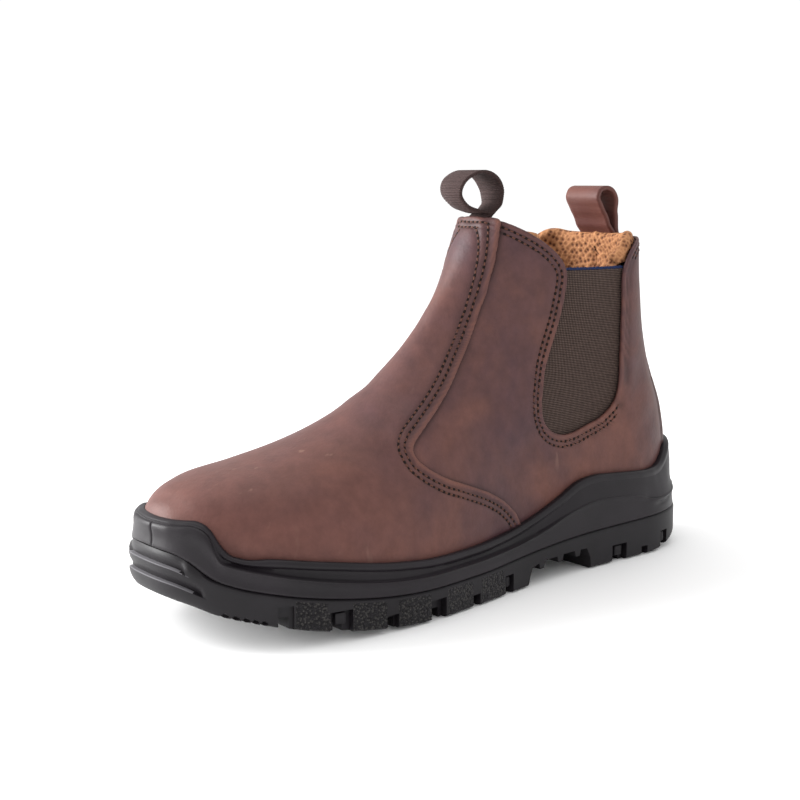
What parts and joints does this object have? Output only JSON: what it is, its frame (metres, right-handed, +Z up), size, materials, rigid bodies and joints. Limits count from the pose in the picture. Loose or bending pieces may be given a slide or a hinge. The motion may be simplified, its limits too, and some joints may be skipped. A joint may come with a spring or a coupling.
{
  "type": "side gore work boot",
  "caption": "Ankle-high pull-on leather work boot with elastic side panels, pull loops front and back, raised rubber toe bumper and lugged sole.",
  "frame": {"origin": "bottom centre of the bounding box, on the ground under the middle of the sole", "axes": "+Y from toe to heel, +X to the outer (lateral) side, +Z up"},
  "size_m": [0.1103, 0.306, 0.1944],
  "materials": {
    "waxed_leather": "waxed brown leather, semi-matte",
    "tread_rubber": "matte black rubber",
    "moulded_polyurethane": "moulded black polyurethane, semi-matte",
    "insole_foam": "fabric-topped foam",
    "elastic_gore": "dark brown woven elastic",
    "ribbed_webbing": "ribbed brown webbing",
    "loop_leather": "brown leather strap",
    "mesh_lining": "tan padded mesh",
    "stitch_thread": "brown waxed thread"
  },
  "bodies": {
    "root": {"outsole": "tread_rubber", "midsole": "moulded_polyurethane", "insole": "insole_foam", "upper": "waxed_leather", "gore_lateral": "elastic_gore", "gore_medial": "elastic_gore", "front_pull_loop": "ribbed_webbing", "rear_pull_loop": "loop_leather"}
  },
  "joints": []
}
